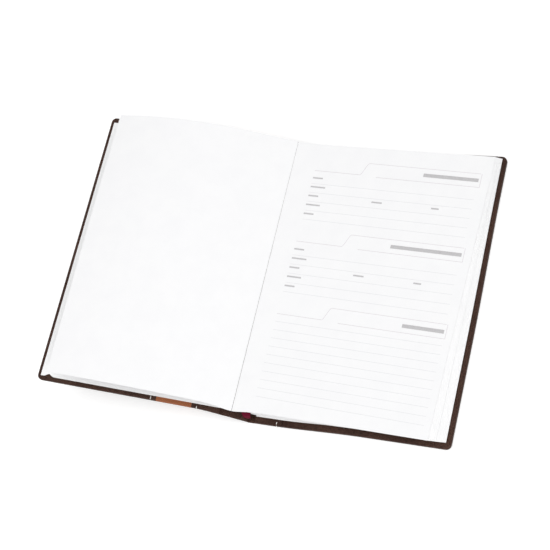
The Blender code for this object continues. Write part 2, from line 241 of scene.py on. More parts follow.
class Shader:
    """A Principled material, with short ways to add texture nodes in object space."""

    def __init__(self, name, roughness=0.5):
        self.material = bpy.data.materials.new(name)
        self.material.use_nodes = True
        self.tree = self.material.node_tree
        self.bsdf = self.tree.nodes["Principled BSDF"]
        self.bsdf.inputs["Roughness"].default_value = roughness
        self.place = self.tree.nodes.new("ShaderNodeTexCoord").outputs["Object"]

    def node(self, kind, **settings):
        node = self.tree.nodes.new("ShaderNode" + kind)
        for name, value in settings.items():
            setattr(node, name, value)
        return node

    def link(self, source, target):
        self.tree.links.new(source, target)

    def noise(self, scale, detail=3.0, roughness=0.55, place=None):
        node = self.node("TexNoise")
        node.inputs["Scale"].default_value = scale
        node.inputs["Detail"].default_value = detail
        node.inputs["Roughness"].default_value = roughness
        self.link(place or self.place, node.inputs["Vector"])
        return node.outputs["Fac"]

    def cells(self, scale, feature):
        node = self.node("TexVoronoi", feature=feature)
        node.inputs["Scale"].default_value = scale
        self.link(self.place, node.inputs["Vector"])
        return node.outputs["Distance"]

    def waves(self, scale, direction, place=None):
        node = self.node("TexWave", bands_direction=direction)
        node.inputs["Scale"].default_value = scale
        self.link(place or self.place, node.inputs["Vector"])
        return node.outputs["Fac"]

    def stretched(self, scale):
        node = self.node("Mapping")
        node.inputs["Scale"].default_value = scale
        self.link(self.place, node.inputs["Vector"])
        return node.outputs["Vector"]

    def spread(self, value, low, high, to_low=0.0, to_high=1.0):
        node = self.node("MapRange", interpolation_type="SMOOTHSTEP")
        for name, number in (("From Min", low), ("From Max", high), ("To Min", to_low), ("To Max", to_high)):
            node.inputs[name].default_value = number
        self.link(value, node.inputs["Value"])
        return node.outputs["Result"]

    def maths(self, operation, first, second):
        node = self.node("Math", operation=operation)
        for socket, value in zip(node.inputs, (first, second)):
            if isinstance(value, float):
                socket.default_value = value
            else:
                self.link(value, socket)
        return node.outputs["Value"]

    def colours(self, share, *stops):
        node = self.node("ValToRGB")
        ramp = node.color_ramp
        while len(ramp.elements) < len(stops):
            ramp.elements.new(0.5)
        for element, (position, colour) in zip(ramp.elements, stops):
            element.position = position
            element.color = (*colour, 1)
        self.link(share, node.inputs["Fac"])
        return node.outputs["Color"]

    def colour(self, value):
        self.link(value, self.bsdf.inputs["Base Color"])

    def roughness(self, value):
        self.link(value, self.bsdf.inputs["Roughness"])

    def bump(self, height, distance, strength=1.0):
        node = self.node("Bump")
        node.inputs["Distance"].default_value = distance
        node.inputs["Strength"].default_value = strength
        self.link(height, node.inputs["Height"])
        before = self.bsdf.inputs["Normal"]
        if before.is_linked:
            self.link(before.links[0].from_socket, node.inputs["Normal"])
        self.link(node.outputs["Normal"], before)


def leatherette(name, deep, middle, light):
    """Embossed grain: pebbles with creases between them, under a broad drift of tone."""
    shader = Shader(name)
    warp = shader.noise(260, 3)
    pebbles = shader.cells(1500, "SMOOTH_F1")
    creases = shader.cells(1000, "DISTANCE_TO_EDGE")
    fine = shader.noise(5200, 4, 0.6)
    drift = shader.noise(38, 4)
    open_grain = shader.spread(creases, 0.0, 0.16)
    tone = shader.maths("MULTIPLY", shader.spread(drift, 0.3, 0.7, 0.62, 1.0), open_grain)
    tone = shader.maths("ADD", tone, shader.spread(fine, 0.35, 0.7, -0.10, 0.12))
    shader.colour(shader.colours(tone, (0.0, deep), (0.55, middle), (1.0, light)))
    shader.roughness(shader.spread(warp, 0.3, 0.75, 0.46, 0.64))
    shader.bump(open_grain, 0.06 * MM, 0.7)
    shader.bump(pebbles, 0.04 * MM, 0.5)
    shader.bump(fine, 0.02 * MM, 0.5)
    shader.bsdf.inputs["Specular IOR Level"].default_value = 0.15
    return shader.material


def paper(name, base, shade):
    """Uncoated stock: faint clouding and a felt of short fibres."""
    shader = Shader(name, 0.86)
    cloud = shader.noise(70, 5, 0.6)
    fibres = shader.noise(2600, 4, 0.65, shader.stretched((1.0, 0.35, 1.0)))
    clouded = shader.spread(cloud, 0.3, 0.7, 0.0, 0.7)
    tone = shader.maths("ADD", clouded, shader.spread(fibres, 0.3, 0.7, 0.0, 0.3))
    shader.colour(shader.colours(tone, (0.0, shade), (1.0, base)))
    shader.bump(fibres, 0.02 * MM, 0.35)
    shader.bsdf.inputs["Specular IOR Level"].default_value = 0.25
    return shader.material


def board_grey(name):
    """Pulped board with darker flecks."""
    shader = Shader(name, 0.92)
    flecks = shader.noise(900, 5, 0.7)
    shader.colour(shader.colours(flecks, (0.3, (0.20, 0.18, 0.16)), (0.7, (0.38, 0.35, 0.31))))
    shader.bump(flecks, 0.05 * MM, 0.5)
    return shader.material


def thread(name):
    """Twisted cotton: slanting plies across the thread."""
    shader = Shader(name, 0.72)
    turned = shader.node("Mapping")
    turned.inputs["Rotation"].default_value = (math.radians(35), 0, math.radians(28))
    shader.link(shader.place, turned.inputs["Vector"])
    plies = shader.waves(560, "Y", turned.outputs["Vector"])
    shader.colour(shader.colours(plies, (0.1, (0.62, 0.60, 0.56)), (0.7, (0.90, 0.89, 0.86))))
    shader.bump(plies, 0.06 * MM, 0.8)
    shader.bsdf.inputs["Sheen Weight"].default_value = 0.25
    return shader.material


def gauze(name):
    """Open plain weave."""
    shader = Shader(name, 0.92)
    weave = shader.maths("MULTIPLY", shader.waves(330, "Y"), shader.waves(330, "Z"))
    shader.colour(shader.colours(weave, (0.0, (0.62, 0.59, 0.53)), (0.8, (0.84, 0.82, 0.77))))
    shader.bump(weave, 0.08 * MM, 0.8)
    return shader.material


def satin(name, deep, light):
    """Woven satin ribbon: fine ribs along it and picks across it, under a drift of tone."""
    shader = Shader(name, 0.5)
    ribs = shader.waves(900, "X")
    picks = shader.waves(620, "Y")
    weave = shader.maths("ADD", shader.maths("MULTIPLY", ribs, 0.7), shader.maths("MULTIPLY", picks, 0.3))
    drift = shader.noise(120, 3)
    woven = shader.spread(weave, 0.0, 1.0, 0.5, 1.0)
    tone = shader.maths("MULTIPLY", woven, shader.spread(drift, 0.25, 0.75, 0.6, 1.0))
    shader.colour(shader.colours(tone, (0.2, deep), (0.9, light)))
    shader.bump(weave, 0.04 * MM, 0.6)
    shader.bsdf.inputs["Specular IOR Level"].default_value = 0.1
    return shader.material


def ink(name, deep, pale):
    """Half-tone print, a little uneven where the paper takes it up."""
    shader = Shader(name, 0.8)
    uneven = shader.noise(1500, 4, 0.6)
    shader.colour(shader.colours(uneven, (0.35, deep), (0.75, pale)))
    return shader.material


DARK = leatherette(
    "dark_leatherette",
    deep=(0.018, 0.007, 0.004),
    middle=(0.046, 0.020, 0.013),
    light=(0.082, 0.040, 0.028),
)
CARAMEL = leatherette(
    "caramel_leatherette",
    deep=(0.235, 0.078, 0.032),
    middle=(0.315, 0.108, 0.045),
    light=(0.40, 0.150, 0.066),
)
PAPER = paper("white_paper", (0.957, 0.957, 0.963), (0.932, 0.932, 0.942))
# The same paper as the printed leaves, painted lighter for the section sheets and endpapers: painted light
# that brightens the shaded fore-edges of the block and the shade under the title leaf.
PAPER_PAINTED_LIGHTER = paper("paper_painted_lighter", (0.98, 0.98, 0.983), (0.962, 0.962, 0.967))
GREYBOARD = board_grey("greyboard")
THREAD = thread("white_thread")
GAUZE = gauze("lining_gauze")
CRIMSON = satin("crimson_ribbon", (0.055, 0.0005, 0.007), (0.16, 0.0012, 0.022))
LINE_INK = ink("tab_line_ink", (0.66, 0.62, 0.65), (0.78, 0.74, 0.77))
RULE_INK = ink("rule_ink", (0.74, 0.74, 0.76), (0.85, 0.85, 0.87))
BAR_INK = ink("bar_ink", (0.50, 0.49, 0.50), (0.62, 0.61, 0.62))


# Meshes


def dress(mesh, material):
    mesh.materials.clear()
    mesh.materials.append(material)
    mesh.shade_smooth()
    mesh.set_sharp_from_angle(angle=SHARP_ANGLE)


def add_piece(name, mesh, material, slot, *nodes):
    """A new visible piece, in place of the CAD nodes named last."""
    piece = bpy.data.objects.new(name, mesh)
    bpy.context.scene.collection.objects.link(piece)
    dress(mesh, material)
    if nodes:
        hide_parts(*nodes)
    return piece


def mesh_of(name, corners, faces):
    """Mesh from points and faces, turned to face out."""
    mesh = bpy.data.meshes.new(name)
    mesh.from_pydata([tuple(corner) for corner in corners], [], faces)
    shape = bmesh.new()
    shape.from_mesh(mesh)
    bmesh.ops.recalc_face_normals(shape, faces=shape.faces)
    shape.to_mesh(mesh)
    shape.free()
    return mesh


def sheet_shell(grid, thickness):
    """Points and faces of a closed sheet of even thickness whose middle is a grid of points."""
    grid = np.array(grid, float)
    along = np.gradient(grid, axis=0)
    across = np.gradient(grid, axis=1)
    normal = np.cross(along, across)
    normal /= np.linalg.norm(normal, axis=2, keepdims=True)
    rows, columns = grid.shape[:2]
    points = np.concatenate([grid + normal * thickness / 2, grid - normal * thickness / 2]).reshape(-1, 3)

    def at(side, row, column):
        return (side * rows + row) * columns + column

    faces = []
    for row in range(rows - 1):
        for column in range(columns - 1):
            ring = [(row, column), (row + 1, column), (row + 1, column + 1), (row, column + 1)]
            faces.append([at(0, *corner) for corner in ring])
            faces.append([at(1, *corner) for corner in reversed(ring)])
    rim = [(row, 0) for row in range(rows)]
    rim += [(rows - 1, column) for column in range(1, columns)]
    rim += [(row, columns - 1) for row in range(rows - 2, -1, -1)]
    rim += [(0, column) for column in range(columns - 2, 0, -1)]
    for first, second in zip(rim, rim[1:] + rim[:1]):
        faces.append([at(0, *second), at(0, *first), at(1, *first), at(1, *second)])
    return points.tolist(), faces


def sheet_mesh(name, grid, thickness):
    return mesh_of(name, *sheet_shell(grid, thickness))


def join_shells(name, shells):
    points, faces = [], []
    for shell_points, shell_faces in shells:
        start = len(points)
        points += shell_points
        faces += [[start + corner for corner in face] for face in shell_faces]
    return mesh_of(name, points, faces)


def tube_shell(path, radii, sides):
    """Closed round tube through points, with its own radius at each."""
    path = [Vector(point) for point in path]
    points, faces = [], []
    side = None
    for index, point in enumerate(path):
        run = (path[min(index + 1, len(path) - 1)] - path[max(index - 1, 0)]).normalized()
        if side is None:
            side = run.orthogonal()
        side = (side - run * side.dot(run)).normalized()
        other = run.cross(side)
        for step in range(sides):
            turn = 2 * math.pi * step / sides
            points.append(point + (side * math.cos(turn) + other * math.sin(turn)) * radii[index])
    for ring in range(len(path) - 1):
        for step in range(sides):
            low, high = ring * sides + step, ring * sides + (step + 1) % sides
            faces.append([low, high, high + sides, low + sides])
    faces.append(list(range(sides))[::-1])
    faces.append([(len(path) - 1) * sides + step for step in range(sides)])
    return [tuple(point) for point in points], faces


def smooth_step(value, low, high):
    share = min(max((value - low) / (high - low), 0.0), 1.0)
    return share * share * (3 - 2 * share)


# Leatherette over the spine, its two joints and the covers


def turned_corner(corner, run_in, run_out):
    """Stations round a bend of the bare skin between two straight runs."""
    turn = run_in.angle(run_out)
    reach = HINGE_ROUND * math.tan(turn / 2)
    start, end = corner - run_in * reach, corner + run_out * reach
    stations = []
    for step in range(HINGE_STEPS + 1):
        share = step / HINGE_STEPS
        point = (start * (1 - share) + corner * share) * (1 - share)
        point += (corner * (1 - share) + end * share) * share
        run = (run_in * (1 - share) + run_out * share).normalized()
        stations.append((point, Vector((run.z, 0, -run.x)), BARE_TURN, 0.0))
    return stations


def cover_dip(distance):
    """How far the outer face dips: into the stitched line, and over the rolled edge at the seam."""
    stitched = GROOVE_DEPTH * math.exp(-(((distance - INNER_ROW) / GROOVE_WIDTH) ** 2))
    rolled = ROLL_DEPTH * smooth_step(distance, SEAM_EDGE - ROLL_WIDTH, SEAM_EDGE) ** 2
    return stitched + rolled


def cover_station(cover, distance):
    turn = BARE_TURN + (BOARD_TURN - BARE_TURN) * smooth_step(distance, *BOARD_RAMP)
    return cover.hinge + cover.run * distance, cover.inward, turn, cover_dip(distance)


def spine_station(distance):
    near = min(distance, SPINE_WIDTH - distance)
    turn = BARE_TURN + (STRIP_TURN - BARE_TURN) * smooth_step(near, *STRIP_RAMP)
    return HINGE_A + SPINE_RUN * distance, SPINE_IN, turn, 0.0


def skin_stations():
    """(point, inward normal, turn-in height, dip of the outer face) across the back, spine and front."""
    stations = [cover_station(BACK, distance * MM) for distance in COVER_STATIONS]
    stations += turned_corner(HINGE_A, -BACK.run, SPINE_RUN)
    stations += [spine_station(SPINE_WIDTH * share) for share in SPINE_STATIONS]
    stations += turned_corner(HINGE_B, SPINE_RUN, FRONT.run)
    stations += [cover_station(FRONT, distance * MM) for distance in reversed(COVER_STATIONS)]
    return stations


def wrap_path(turn, dip):
    """(y, height) points of a skin from one turn-in, round the tail and head edges, to the other."""
    edge = COVER_HEIGHT / 2 - LEATHER / 2
    bend = min(EDGE_BEND, turn / 2)
    half = [(COVER_HEIGHT / 2 - inset, turn) for inset in (TURN_IN, 9 * MM)]
    half.append((edge - 2 * MM, turn))
    for middle, first in ((turn - bend, math.pi / 2), (bend, 0.0)):
        for step in range(4):
            angle = first - math.pi / 2 * step / 3
            half.append((edge - bend + bend * math.cos(angle), middle + bend * math.sin(angle)))
    half += [(edge - 2 * MM, dip), (edge - 8 * MM, dip), (70 * MM, dip), (35 * MM, dip)]
    return half + [(0.0, dip)] + [(-y, height) for y, height in reversed(half)]


def tail_sag(point):
    """How far the skin hangs out past the tail by the spine, fading sooner over the front cover."""
    away = point - (HINGE_A + HINGE_B) / 2
    away.y = 0
    fade = SAG_FADE_BACK if away.x > 0 else SAG_FADE_FRONT
    return SPINE_SAG * (1 - smooth_step(away.length, *fade))


def tail_drawn(point):
    """Share by which the tail half of a skin is drawn out at a point."""
    return 1 + tail_sag(point) / (COVER_HEIGHT / 2)


def make_spine_skin():
    """One skin across the spine and both joints, in two halves that meet along the middle of the spine."""
    stations = skin_stations()
    middle = len(stations) // 2
    halves = (
        ("spine_skin_back", stations[: middle + 1], ("spine_cover_back", "spine_cover_middle")),
        ("spine_skin_front", stations[middle:], ("spine_cover_front",)),
    )
    skins = []
    for name, part, nodes in halves:
        grid = []
        for point, inward, turn, dip in part:
            drawn = tail_drawn(point)
            row = []
            for y, height in wrap_path(turn, dip):
                row.append(point + inward * height + Vector((0, y if y > 0 else y * drawn, 0)))
            grid.append(row)
        mesh = sheet_mesh(name, grid, LEATHER)
        skins.append(add_piece(name, mesh, DARK, "dark_leatherette", *nodes))
    back, front = skins
    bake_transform(back)
    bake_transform(front)


def tail_half(y):
    """1 in the tail half, easing to 0 towards the head."""
    return 1 - smooth_step(y, *TAIL_EASE)


def make_panel(name, node, cover, reach):
    """A cover's outer panel, drawn tighter over the board's corners, its tail hanging by the spine."""
    hinge, run = cover.hinge, cover.run
    mesh = frame["nodes"][node].data.copy()
    mesh.name = name
    shape = bmesh.new()
    shape.from_mesh(mesh)
    bmesh.ops.remove_doubles(shape, verts=shape.verts, dist=0.001 * MM)
    cuts = [(hinge + run * distance * MM, run) for distance in PANEL_CUTS_OUT]
    cuts += [((0, level * MM, 0), (0, 1, 0)) for level in PANEL_CUTS_UP]
    for place, across in cuts:
        geometry = shape.verts[:] + shape.edges[:] + shape.faces[:]
        bmesh.ops.bisect_plane(shape, geom=geometry, plane_co=place, plane_no=across)
    drawn = CORNER_RADIUS - CORNER_TURN
    for vertex in shape.verts:
        out = (vertex.co - hinge).dot(run) - COVER_WIDTH + CORNER_RADIUS
        side = abs(vertex.co.y) - COVER_HEIGHT / 2 + CORNER_RADIUS
        if min(out, side) > -0.1 * MM and max(out, side) > drawn:
            radius = math.hypot(out, side)
            vertex.co += run * drawn * (1 - max(out, 0.0) / radius)
            vertex.co.y += math.copysign(drawn * (1 - max(side, 0.0) / radius), vertex.co.y)
        far = smooth_step((vertex.co - hinge).dot(run), COVER_WIDTH / 2, COVER_WIDTH)
        vertex.co += run * reach * far * tail_half(vertex.co.y)
        if vertex.co.y < 0:
            vertex.co.y *= tail_drawn(vertex.co)
    shape.to_mesh(mesh)
    shape.free()
    panel = add_piece(name, mesh, DARK, "dark_leatherette", node)
    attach(panel, cover.body)


# Stitching


def seam_route():
    """(y, height, outward y, outward height) along a seam, from one turn-in over the edges to the other."""
    low, edge = -LEATHER / 2, COVER_HEIGHT / 2
    half = [(edge - SEAM_END, COVER_FACE, 0.0, 1.0)]
    for middle, first in ((COVER_FACE - SEAM_BEND, math.pi / 2), (low + SEAM_BEND, 0.0)):
        for step in range(4):
            angle = first - math.pi / 2 * step / 3
            out_y, out_height = math.cos(angle), math.sin(angle)
            y, height = edge - SEAM_BEND + SEAM_BEND * out_y, middle + SEAM_BEND * out_height
            half.append((y, height, out_y, out_height))
    mirrored = [(-y, height, -out_y, out_height) for y, height, out_y, out_height in reversed(half)]
    return half + mirrored


def along(route, lengths, distance):
    """What a route says at a distance along it."""
    index = min(max(np.searchsorted(lengths, distance) - 1, 0), len(route) - 2)
    share = (distance - lengths[index]) / (lengths[index + 1] - lengths[index])
    return np.array(route[index]) * (1 - share) + np.array(route[index + 1]) * share


def make_stitches(name, node, cover, distance, phase, sink):
    """A row of single stitches, each rising out of the skin and going back in, sunk under the outer face."""
    route = seam_route()
    steps = [math.hypot(b[0] - a[0], b[1] - a[1]) for a, b in zip(route, route[1:])]
    lengths = np.concatenate([[0.0], np.cumsum(steps)])
    shells = []
    start = phase * STITCH_PITCH
    while start + STITCH_LENGTH < lengths[-1]:
        path, radii = [], []
        for step in range(11):
            share = step / 10
            y, height, out_y, out_height = along(route, lengths, start + share * STITCH_LENGTH)
            arch = math.sin(math.pi * share)
            covered = smooth_step(PAGE_HEIGHT / 2 + PAPER_SINK_START - abs(y), 0.0, 0.6 * MM)
            rise = STITCH_RISE * arch**0.6 - STITCH_ROOT - sink * max(-out_height, 0.0)
            rise -= PAPER_SINK * covered * max(out_height, 0.0)
            place = cover.hinge + cover.run * distance + cover.inward * (height + rise * out_height)
            drawn = tail_drawn(place) if y < 0 else 1
            path.append(place + Vector((0, y * drawn + rise * out_y, 0)))
            radii.append(THREAD_RADIUS * (0.72 + 0.28 * arch**0.5))
        shells.append(tube_shell(path, radii, THREAD_SIDES))
        start += STITCH_PITCH
    row = add_piece(name, join_shells(name, shells), THREAD, "white_thread", node)
    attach(row, cover.body)


# Paper


def section_floor(index):
    """Height of the underside of a section at its fold."""
    return BLOCK_FLOOR + index * (SECTION_BACK + SECTION_GAP) + (RIBBON_ROOM if index >= RIBBON_UNDER else 0)


LAG = (SECTIONS - 1) * FAN_STEP
CLOSED_BACK = HINGE_A.x + BLOCK_BACK
OPEN_EDGE = CLOSED_BACK + PAGE_WIDTH - LAG
HEAD = PAGE_HEIGHT / 2 + BLOCK_RAISE
TAIL = BLOCK_RAISE - PAGE_HEIGHT / 2


def eased_back(share):
    """The step whose smooth ease gives a share."""
    return 0.5 - math.sin(math.asin(1 - 2 * share) / 3)


STEP_HEAD = eased_back(1 - LAG_HEAD / LAG)
STEP_TAIL = eased_back(1 - LAG_TAIL / LAG)
SLIDE_RISE = Vector((-(1 - STEP_HEAD) / LAG_RUN, -(STEP_TAIL - STEP_HEAD) / PAGE_HEIGHT, 0))
SLIDE_RUN = SLIDE_RISE / SLIDE_RISE.length_squared
SLIDE_START = Vector((OPEN_EDGE, HEAD, 0)) - SLIDE_RUN * STEP_HEAD


def slide_share(x, y):
    """How much of its section's slide a point of a leaf makes: all by the fold, less at the fore-edge."""
    return smooth_step((Vector((x, y, 0)) - SLIDE_START).dot(SLIDE_RISE), 0.0, 1.0)


def slid_open(x, y, z, slide):
    """Where a point of the closed block, at a distance from its back, lies while the book is open."""
    place, low = CLOSED_BACK + x - slide, y - LEAF_DIP * slide / LAG * x / PAGE_WIDTH
    for _ in range(10):
        place = CLOSED_BACK + x - slide * slide_share(place, low)
    reach = LEAF_REACH * (1 - slide / LAG) * (x / PAGE_WIDTH) ** 2 * tail_half(y)
    return place + reach, low, z


def follow_slide(piece, number):
    """Pieces of the first section ride on the back cover; the others keep the open shape drawn for them,
    where leaves lag behind their section's fold, most at the head corner.
    """
    if number == 1:
        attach(piece, "back_cover")
    else:
        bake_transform(piece)


def tail_bow(x):
    """How far the tail edges are drawn in midway along them."""
    return BOW_DEPTH * math.exp(-(((x - BOW_MIDDLE) / BOW_WIDTH) ** 2))


def make_sections():
    """Sections of nested folded sheets, trimmed a hair unevenly and fanned a little."""
    chance = np.random.default_rng(7)
    middle = SECTION_BACK / 2
    for index in range(SECTIONS):
        shells = []
        drop = index * (SECTION_BACK - SECTION_FORE)
        for sheet in range(FOLDED_SHEETS):
            share = (sheet + 0.5) / (2 * FOLDED_SHEETS)
            path = []
            for side, part in ((-1, share), (1, 1 - share)):
                fan = 0.5 * FAN_STEP * (0.5 - part) if index else 0.0
                end = PAGE_WIDTH - chance.uniform(0.0, FORE_TRIM) + fan
                leaf = []
                for spot in LEAF_SPOTS:
                    height = SECTION_BACK * part + (SECTION_FORE * part - drop - SECTION_BACK * part) * spot
                    leaf.append((middle + (end - middle) * spot, height))
                if side < 0:
                    path += leaf
                    for step in range(FOLD_STEPS + 1):
                        angle = -math.pi / 2 - math.pi * step / FOLD_STEPS
                        bend = SECTION_BACK * (0.5 - share)
                        path.append((middle + bend * math.cos(angle), middle + bend * math.sin(angle)))
                else:
                    path += leaf[::-1]
            ends = np.array([TAIL, HEAD]) + chance.uniform(0.0, END_TRIM, 2) * (1, -1)
            level = section_floor(index)
            grid = []
            for x, z in path:
                rows = np.linspace(ends[0] + tail_bow(x), ends[1], 9)
                grid.append([slid_open(x, y, level + z, index * FAN_STEP) for y in rows])
            shells.append(sheet_shell(grid, SECTION_FORE / (2 * FOLDED_SHEETS) * SHEET_SHARE))
        number = f"{index + 1:02d}"
        name = "section_sheets_" + number
        piece = add_piece(name, join_shells(name, shells), PAPER_PAINTED_LIGHTER, "white_paper", "signature_" + number)
        follow_slide(piece, index + 1)


def page_height(x):
    """Top of the printed page at a distance from its fold."""
    low = section_floor(SECTIONS - 1) + SECTION_BACK + SECTION_GAP
    share = max(x - SECTION_BACK / 2, 0.0) / (PAGE_WIDTH - SECTION_BACK / 2)
    return low + LEAF_ROOM - SECTIONS * (SECTION_BACK - SECTION_FORE) * share


def leaf_rows(distance, count):
    """Places from tail to head of a leaf, which is drawn out a little by its fold."""
    drawn = math.exp(-((distance / FOLD_DRAWN_WIDTH) ** 2))
    return np.linspace(TAIL - FOLD_DRAWN_TAIL * drawn, HEAD + FOLD_DRAWN_HEAD * drawn, count)


def make_form_page():
    """The printed leaf on top of the block, with rows of points closer together by its fold."""
    grid = []
    for step in range(FORM_STEPS + 1):
        share = (step / FORM_STEPS) ** 1.4
        row = []
        for y in leaf_rows(PAGE_WIDTH * share, 17):
            start = (0.05 + 0.12 * (HEAD - y) / PAGE_HEIGHT) * MM
            x = start + (PAGE_WIDTH - start) * share
            row.append(slid_open(x, y, page_height(x) - LEAF / 2, LAG))
        grid.append(row)
    page = add_piece("form_page", sheet_mesh("form_page", grid, LEAF), PAPER, "white_paper", "form_leaf")
    follow_slide(page, SECTIONS)


def make_title_leaf():
    """Leaf sprung up from the gutter in one arc, easing flat towards its fore-edge."""
    radius = PAGE_WIDTH / (LEAF_START - LEAF_END)
    grid = []
    for step in range(TITLE_STEPS + 1):
        share = step / TITLE_STEPS
        slope = LEAF_START + (LEAF_END - LEAF_START) * share
        x = GUTTER.x - radius * (math.sin(LEAF_START) - math.sin(slope))
        z = GUTTER.z + radius * (math.cos(slope) - math.cos(LEAF_START))
        row = []
        for y in leaf_rows(PAGE_WIDTH * share, 13):
            lift = TITLE_WAVE * share**2 * math.sin(y / PAGE_HEIGHT * 5.0 + 0.8)
            lift += (TITLE_TWIST * y / (PAGE_HEIGHT / 2) - TITLE_SINK) * math.sin(math.pi * share)
            row.append((x, y, z + lift))
        grid.append(row)
    leaf = add_piece("title_page", sheet_mesh("title_page", grid, LEAF), PAPER, "white_paper", "title_leaf")
    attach(leaf, "title_leaf")
    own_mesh(leaf)


def front_trim(distance, end):
    """Tail and head of the front endpaper, drawn back at its corners, where a pleat of the skin shows."""
    pleat = PLEAT_DEPTH * math.exp(-(((end - distance - PLEAT_PLACE) / PLEAT_WIDTH) ** 2))
    low, high = HEAD_DRAWN_FROM
    drawn = HEAD_DRAWN * smooth_step(distance, end - low, end - high)
    return pleat - PAGE_HEIGHT / 2, PAGE_HEIGHT / 2 - drawn


def back_trim(distance, end):
    """Tail and head of the back endpaper, its tail drawn back under the block."""
    return BACK_DRAWN * smooth_step(distance, *BACK_DRAWN_FROM) - PAGE_HEIGHT / 2, PAGE_HEIGHT / 2


def make_endpaper(name, node, cover, start, reach, trim):
    """Half of an endpaper, lying on its cover."""
    corners = [vertex.co - cover.hinge for vertex in frame["nodes"][node].data.vertices]
    heights = [corner.dot(cover.inward) for corner in corners]
    end = max(corner.dot(cover.run) for corner in corners) + reach
    level, thickness = (min(heights) + max(heights)) / 2, max(heights) - min(heights)
    fine = end - ENDPAPER_FINE
    grid = []
    for distance in [*np.linspace(start, fine, 18), *np.linspace(fine, end, 19)[1:]]:
        spot = cover.hinge + cover.run * distance + cover.inward * level
        grid.append([spot + Vector((0, y, 0)) for y in np.linspace(*trim(distance, end), 17)])
    leaf = add_piece(name, sheet_mesh(name, grid, thickness), PAPER_PAINTED_LIGHTER, "white_paper", node)
    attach(leaf, cover.body)


def make_lining():
    """Gauze over the leaning backs of the sections."""
    low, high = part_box("spine_lining")
    start, end = Vector((high.x, 0, low.z)), Vector((low.x, 0, high.z))
    run = (end - start).normalized()
    inset = run * LINING_INSET
    grid = []
    for step in range(9):
        point = start + inset + (end - start - inset * 2) * step / 8
        grid.append([(point.x, y, point.z) for y in np.linspace(low.y, high.y, 9)])
    mesh = sheet_mesh("spine_gauze", grid, LINING)
    lining = add_piece("spine_gauze", mesh, GAUZE, "lining_gauze", "spine_lining")
    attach(lining, "back_cover")
    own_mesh(lining)


# Printed form


def printed(x, y):
    """A place in the open book from millimetres on the page, where the print lies a little askew."""
    across = 1.015 * x + 0.0194 * y - 0.16
    up = 1.002 * y - 0.0262 * x + 1.85
    return GUTTER.x + across * MM, BLOCK_RAISE + up * MM


def printed_line(route, width):
    """A thin raised line of ink along a route on the page."""
    spots = [Vector((*printed(*place), 0)) for place in route]
    grid = []
    for index, spot in enumerate(spots):
        run = spots[min(index + 1, len(spots) - 1)] - spots[max(index - 1, 0)]
        side = Vector((-run.y, run.x, 0)).normalized() * width / 2
        row = []
        for edge in (spot - side, spot + side):
            shut = edge.x + LAG * slide_share(edge.x, edge.y) - CLOSED_BACK
            row.append((edge.x, edge.y, page_height(shut) + INK_RAISE))
        grid.append(row)
    return sheet_shell(grid, INK)


def ruled(left, right, level):
    """Points across the page, close enough together to follow it."""
    return [(left + (right - left) * step / 16, level) for step in range(17)]


def tab_routes(level, step_x):
    """Divider with a raised tab on its right: its top line, the tab's right edge and the line below."""
    top = ruled(FORM_LEFT, step_x - 6, level)
    for step in range(13):
        share = step / 12
        top.append((step_x - 0.3 + TAB_SWEEP * share, level + TAB_RISE * smooth_step(share, 0.0, 1.0)))
    top += ruled(step_x + 14, FORM_RIGHT - 0.8, level + TAB_RISE)
    edge = [(FORM_RIGHT, level + rise) for rise in (TAB_RISE, TAB_RISE / 2, -0.9)]
    under = ruled(FORM_RIGHT - 0.2, step_x + 12, level - 0.75)
    return [top, edge, under]


def make_print():
    """Ruled form with plain bars where a maker would set headings and field names."""
    tabs, rules, bars = [], [], []
    for level, step_x in TABS:
        tabs += [printed_line(route, TAB_LINE) for route in tab_routes(level, step_x)]
    for first in FIELD_RULES:
        for row in range(len(LABEL_LENGTHS)):
            route = ruled(FORM_LEFT, FORM_RIGHT - 1.8, first - FIELD_PITCH * row)
            rules.append(printed_line(route, RULE_LINE))
    for row in range(NOTE_RULES):
        route = ruled(FORM_LEFT, FORM_RIGHT - 0.6, NOTE_FIRST - NOTE_PITCH * row)
        rules.append(printed_line(route, RULE_LINE))
    for start, level in HEADINGS:
        bars.append(printed_line(ruled(start, FORM_RIGHT - 1.5, level), HEADING_BAR))
    for first in FIELD_LABELS:
        for row, length in enumerate(LABEL_LENGTHS):
            level = first - FIELD_PITCH * row
            bars.append(printed_line([(FORM_LEFT, level), (FORM_LEFT + length, level)], LABEL_BAR))
        for start, end in SHORT_LABELS:
            bars.append(printed_line([(start, first - SHORT_DROP), (end, first - SHORT_DROP)], LABEL_BAR))
    for name, shells, material in (
        ("print_tabs", tabs, LINE_INK),
        ("print_rules", rules, RULE_INK),
        ("print_bars", bars, BAR_INK),
    ):
        piece = add_piece(name, join_shells(name, shells), material, "white_paper")
        follow_slide(piece, SECTIONS)


# Ribbon


def ribbon_drift(y):
    """How far the ribbon wanders left towards its end."""
    return RIBBON_DRIFT * smooth_step(TAIL + 24 * MM - y, 0.0, 28 * MM)


